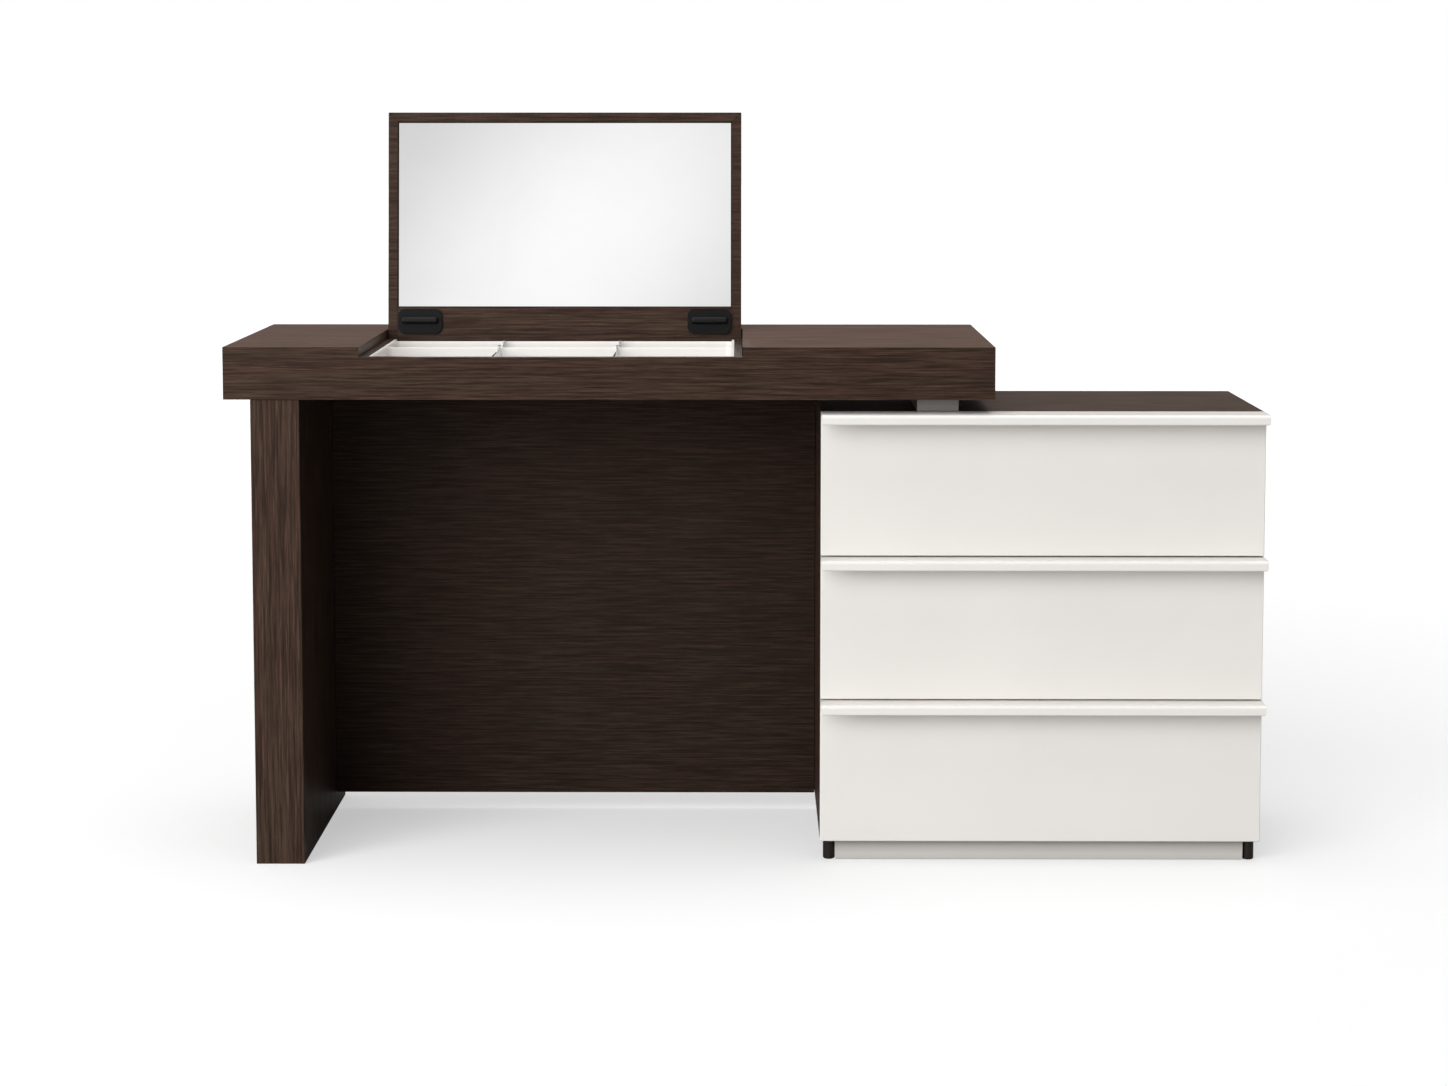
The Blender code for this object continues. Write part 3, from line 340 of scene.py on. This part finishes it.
def hinge_material():
    """Black plastic, smoother on the raised bar, with a painted highlight that makes the bar a little
    lighter.
    """
    material, tree, shader = new_material("plastic_hinge", Specular_IOR_Level=HINGE_GLOSS)
    place = placed_coordinates(tree, GRAIN_TURNS["flap length"])
    leaf = frame["nodes"]["hinge_leaf_left"].data
    turn = Matrix.Rotation(FLAP_LEAN, 3, "X")
    front = min((turn @ vertex.co).y for vertex in leaf.vertices)
    depth = add_node(tree, "SeparateXYZ", {"Vector": place}).outputs["Y"]
    raised = spread(tree, depth, front + BAR_GLOSS_AND_HIGHLIGHT_DEPTH, front, 0.0, 1.0)
    fine = stretched_noise(tree, place, (1400.0, 1400.0, 1400.0), 3.0, 0.6)
    # painted highlight: the raised bar is mixed towards a lighter black
    link(tree, mix_colours(tree, raised, HINGE_BLACK, BAR_HIGHLIGHT_BLACK), shader, "Base Color")
    link(tree, spread(tree, raised, 0.0, 1.0, 0.5, 0.34), shader, "Roughness")
    link(tree, bump(tree, fine, 0.00003, 0.6), shader, "Normal")
    return material


def clear_material():
    """Polished clear acrylic with the faintest cloud in its gloss."""
    material, tree, shader = new_material(
        "acrylic_clear", Base_Color=(0.84, 0.86, 0.86, 1), Transmission_Weight=1.0, IOR=1.49
    )
    place = placed_coordinates(tree)
    cloud = stretched_noise(tree, place, (60.0, 60.0, 60.0), 2.0, 0.5)
    link(tree, spread(tree, cloud, 0.3, 0.7, 0.01, 0.05), shader, "Roughness")
    return material


def paint_shade_by_height(material, low, high, level, rising=True):
    """Paints shade into a material's colour: multiplies it by a level below low, or above high if the shade
    isn't rising.
    """
    tree = material.node_tree
    socket = tree.nodes["Principled BSDF"].inputs["Base Color"]
    colour = socket.links[0].from_socket
    height = add_node(tree, "SeparateXYZ", {"Vector": placed_coordinates(tree)}).outputs["Z"]
    ends = (level, 1.0) if rising else (1.0, level)
    shade = spread(tree, height, low, high, *ends)
    shaded = add_node(tree, "VectorMath", {0: colour, "Scale": shade}, operation="SCALE")
    tree.links.new(shaded.outputs["Vector"], socket)


def make_finishes():
    """The materials other than veneer, by slot or by the finer name that dress_nodes gives."""
    finishes = {
        "lacquer": lacquer_material("lacquer_off_white", OFF_WHITE, 0.38),
        # painted shade: the plinth's lacquer is a darker copy of the off-white lacquer
        "plinth": lacquer_material("lacquer_plinth_painted_shade", (0.55, 0.525, 0.495), 0.42),
        "painted_handle": lacquer_material("paint_off_white", OFF_WHITE, 0.33),
        "drawer_board": grained_material("melamine_pale", (0.62, 0.56, 0.47), 0.5, grain=500.0),
        "tray_plastic": grained_material(
            "plastic_cream", (0.84, 0.815, 0.785), 0.36, grain=700.0, depth=0.00001, spread_of_tone=0.02
        ),
        "clear_acrylic": clear_material(),
        "mirror_glass": mirror_material(),
        "hinge_plastic": hinge_material(),
        "foot_plastic": grained_material("plastic_foot", (0.012, 0.0085, 0.0065), 0.4, gloss=0.25),
        "hinge_steel": brushed_material("steel_zinc", (0.55, 0.55, 0.54), 0.34, (60.0, 700.0, 60.0)),
        "slide_steel": grained_material("powder_coat_pale", (0.72, 0.71, 0.68), 0.42, grain=1100.0),
        "satin_aluminium": brushed_material(
            "aluminium_satin", (0.23, 0.215, 0.20), 0.4, (30.0, 30.0, 900.0)
        ),
    }
    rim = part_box("organizer_tray")[1].z
    # painted shade: the tray's walls and floor are darker below the rim
    paint_shade_by_height(finishes["tray_plastic"], rim - TRAY_PAINTED_SHADE_DEPTHS[0], rim - TRAY_PAINTED_SHADE_DEPTHS[1], TRAY_PAINTED_SHADE_LEVEL)
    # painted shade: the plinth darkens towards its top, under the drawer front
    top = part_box("plinth")[1].z
    low, high = top - PLINTH_PAINTED_SHADE_DEPTHS[0], top - PLINTH_PAINTED_SHADE_DEPTHS[1]
    paint_shade_by_height(finishes["plinth"], low, high, PLINTH_PAINTED_SHADE_LEVEL, rising=False)
    return finishes


def dress_nodes():
    """Gives each CAD node its material, by the record's slots."""
    slots = {row["node"]: row["material_slot"] for row in frame["record"]["subparts"]}
    slots["plinth"] = "plinth"
    for name in slots:
        if name.startswith("hinge_leaf"):
            slots[name] = "hinge_plastic"
        elif name.startswith("foot_"):
            slots[name] = "foot_plastic"
    finishes = make_finishes()
    for number, (name, node) in enumerate(sorted(frame["nodes"].items())):
        if name in WOOD_GRAIN:
            material = wood_material(name, WOOD_GRAIN[name], number, WOOD_PAINTED_LIGHT_LEVELS.get(name, 1.0))
        else:
            material = finishes[slots[name]]
        node.data.materials.clear()
        node.data.materials.append(material)


def recess_outline():
    """Corners of a cross recess, anticlockwise, in shares of a head's radius."""
    arm, half = RECESS_REACH_SHARE, RECESS_HALF_SHARE
    return [
        (arm, -half), (arm, half), (half, half), (half, arm), (-half, arm), (-half, half),
        (-arm, half), (-arm, -half), (-half, -half), (-half, -arm), (half, -arm), (half, -half),
    ]


def add_screw(mesh, turn, place):
    """A low domed head with a cross recess, on the surface at place. turn takes +Z to the way it faces."""
    made = []

    def ring(points, height_share):
        height = height_share * SCREW_HEIGHT
        corners = [mesh.verts.new((x * SCREW_RADIUS, y * SCREW_RADIUS, height)) for x, y in points]
        made.extend(corners)
        return corners

    def bridge(low, high):
        for i, corner in enumerate(low):
            follower = (i + 1) % len(low)
            mesh.faces.new((corner, low[follower], high[follower], high[i]))

    angles = [math.tau * i / SCREW_SEGMENTS for i in range(SCREW_SEGMENTS)]
    circle = [(math.cos(a), math.sin(a)) for a in angles]
    rings = []
    for share, height in SCREW_PROFILE:
        rings.append(ring([(x * share, y * share) for x, y in circle], height))
    for low, high in zip(rings, rings[1:]):
        bridge(low, high)
    mesh.faces.new(rings[0][::-1])
    mouth = ring(recess_outline(), 1.0)
    floor = ring(recess_outline(), RECESS_FLOOR_SHARE)
    bridge(mouth, floor)
    mesh.faces.new(floor)
    loops = (rings[-1], mouth)
    edges = [mesh.edges.get((loop[i - 1], loop[i])) for loop in loops for i in range(len(loop))]
    bmesh.ops.triangle_fill(mesh, edges=edges, use_beauty=True, use_dissolve=False)
    bmesh.ops.transform(mesh, matrix=Matrix.Translation(place) @ turn, verts=made)


def add_screws(name, body, material, turn, places):
    """One piece with a screw at each place, all facing one way, on one body."""
    mesh = bmesh.new()
    for place in places:
        add_screw(mesh, turn, place)
    bmesh.ops.recalc_face_normals(mesh, faces=mesh.faces)
    data = bpy.data.meshes.new(name)
    mesh.to_mesh(data)
    mesh.free()
    piece = bpy.data.objects.new(name, data)
    bpy.context.scene.collection.objects.link(piece)
    data.materials.append(material)
    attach(piece, body)


def add_fittings():
    """The screws that hold the slides and the hinge arms."""
    zinc = brushed_material("screw_zinc", (0.62, 0.61, 0.59), 0.32, (500.0, 500.0, 500.0))
    to_right = Matrix.Rotation(QUARTER_TURN, 4, "Y")
    to_left = Matrix.Rotation(-QUARTER_TURN, 4, "Y")
    to_front = Matrix.Rotation(QUARTER_TURN, 4, "X")
    for level in ("bottom", "middle", "top"):
        for side, inward, outward in (("left", to_right, to_left), ("right", to_left, to_right)):
            sign = 1 if side == "left" else -1
            rail_low, rail_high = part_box(f"slide_rail_{level}_{side}")
            runner_low, runner_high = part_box(f"slide_runner_{level}_{side}")
            rail_edge = rail_low.x if side == "left" else rail_high.x
            runner_edge = runner_high.x if side == "left" else runner_low.x
            rail_face = rail_edge + sign * SLIDE_STEEL
            runner_face = runner_edge - sign * (RUNNER_FOOT + SLIDE_STEEL)
            middle = (rail_low.z + rail_high.z) / 2
            spots = [rail_low.y + (rail_high.y - rail_low.y) * share for share in SLIDE_SCREW_SHARES]
            rows = (
                (f"slide_rail_screws_{level}_{side}", "table", inward, rail_face),
                (f"slide_runner_screws_{level}_{side}", f"drawer_{level}", outward, runner_face),
            )
            for name, body, turn, x in rows:
                add_screws(name, body, zinc, turn, [(x, y, middle) for y in spots])
    for side in ("left", "right"):
        low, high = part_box(f"hinge_arm_{side}")
        centre = (low.x + high.x) / 2
        places = [
            (centre + step, high.y - ARM_PLATE, low.z + ARM_PLATE_HEIGHT / 2)
            for step in (-ARM_SCREW_OFFSET, ARM_SCREW_OFFSET)
        ]
        add_screws(f"hinge_arm_screws_{side}", "table", zinc, to_front, places)


def seen_directly(tree):
    """1 for a ray from the camera, straight or through clear plastic, and 0 for any other."""
    path = add_node(tree, "LightPath")
    rays = {0: path.outputs["Is Camera Ray"], 1: path.outputs["Is Transmission Ray"]}
    return add_node(tree, "Math", rays, operation="MAXIMUM").outputs[0]


def make_floor():
    """A pale floor that is almost white to the camera, and keeps the object's shadow."""
    half = FLOOR_HALF
    mesh = bpy.data.meshes.new("floor")
    corners = [(-half, -half, 0), (half, -half, 0), (half, half, 0), (-half, half, 0)]
    mesh.from_pydata(corners, [], [(0, 1, 2, 3)])
    floor = bpy.data.objects.new("floor", mesh)
    bpy.context.scene.collection.objects.link(floor)
    material, tree, shader = new_material(
        "floor_paper", Base_Color=(*FLOOR_COLOUR, 1), Roughness=1.0, Specular_IOR_Level=0.0
    )
    shader.inputs["Emission Color"].default_value = (1, 1, 1, 1)
    coordinates = add_node(tree, "TexCoord").outputs["Object"]
    distance = add_node(tree, "VectorMath", {0: coordinates}, operation="LENGTH").outputs["Value"]
    lift = spread(tree, distance, *FLOOR_FADE, FLOOR_LIFT, FAR_FLOOR_LIFT)
    link(tree, multiplied(tree, seen_directly(tree), lift), shader, "Emission Strength")
    mesh.materials.append(material)


def make_world():
    """Even light, a white background, and a soft glow in front of the table that the mirror shows."""
    world = bpy.data.worlds.new("studio")
    world.use_nodes = True
    tree = world.node_tree
    direction = add_node(tree, "TexCoord").outputs["Generated"]
    offset = add_node(tree, "VectorMath", {0: direction, 1: GLOW_DIRECTION}, operation="SUBTRACT")
    tilted = add_node(
        tree,
        "VectorRotate",
        {"Vector": offset.outputs["Vector"], "Angle": GLOW_TILT},
        rotation_type="Y_AXIS",
    )
    oval = add_node(
        tree, "VectorMath", {0: tilted.outputs["Vector"], 1: GLOW_STRETCH}, operation="MULTIPLY"
    )
    away = add_node(tree, "VectorMath", {0: oval.outputs["Vector"]}, operation="LENGTH")
    glow = add_node(tree, "ValToRGB", {"Fac": away.outputs["Value"]})
    ramp = glow.color_ramp
    ramp.interpolation = "B_SPLINE"
    first, last = ramp.elements[0], ramp.elements[1]
    first.position, last.position = GLOW_STEPS[0][0], GLOW_STEPS[-1][0]
    for element, (_, level) in ((first, GLOW_STEPS[0]), (last, GLOW_STEPS[-1])):
        element.color = (level, level, level, 1)
    for position, level in GLOW_STEPS[1:-1]:
        element = ramp.elements.new(position)
        element.color = (level, level, level, 1)
    side = add_node(tree, "SeparateXYZ", {"Vector": direction}).outputs["Y"]
    behind = spread(tree, side, *BACK_FADE)
    reflected = mix_colours(tree, behind, glow.outputs["Color"], (*BACK_LIGHT, 1))
    path = add_node(tree, "LightPath")
    even = (WORLD_LIGHT, WORLD_LIGHT, WORLD_LIGHT, 1)
    glossy = mix_colours(tree, path.outputs["Is Glossy Ray"], even, reflected)
    seen = mix_colours(tree, seen_directly(tree), glossy, (1, 1, 1, 1))
    tree.links.new(seen, tree.nodes["Background"].inputs["Color"])
    bpy.context.scene.world = world


def add_lamp(name, kind, energy, turn, place=(0, 0, 0), **settings):
    """A lamp of this kind. settings are its own properties, such as a sun's angle."""
    data = bpy.data.lights.new(name, kind)
    data.energy = energy
    for key, value in settings.items():
        setattr(data, key, value)
    lamp = bpy.data.objects.new(name, data)
    lamp.location = place
    lamp.rotation_euler = turn
    bpy.context.scene.collection.objects.link(lamp)


def make_lights():
    """Soft light from above and from the front left, and a lamp that favours the left end."""
    add_lamp("overhead", "SUN", OVERHEAD_LIGHT, (0, 0, 0), angle=OVERHEAD_SPREAD)
    add_lamp("front", "SUN", FRONT_LIGHT, FRONT_TURN, angle=FRONT_SPREAD)
    aim = Vector(LEFT_LAMP_AIM) - Vector(LEFT_LAMP_PLACE)
    turn = aim.to_track_quat("-Z", "Y").to_euler()
    add_lamp("left", "AREA", LEFT_LIGHT, turn, LEFT_LAMP_PLACE, size=LEFT_LAMP_SIZE)


def make_camera():
    """The photograph's point of view."""
    data = bpy.data.cameras.new("camera")
    data.lens = CAMERA_LENS
    data.shift_y = CAMERA_SHIFT
    camera = bpy.data.objects.new("camera", data)
    camera.location = CAMERA_PLACE
    camera.rotation_euler = (QUARTER_TURN - CAMERA_PITCH_DOWN, 0.0, CAMERA_YAW)
    bpy.context.scene.collection.objects.link(camera)
    bpy.context.scene.camera = camera


dress_nodes()
add_fittings()
make_floor()
make_world()
make_lights()
make_camera()
bpy.context.scene.view_settings.view_transform = "Standard"
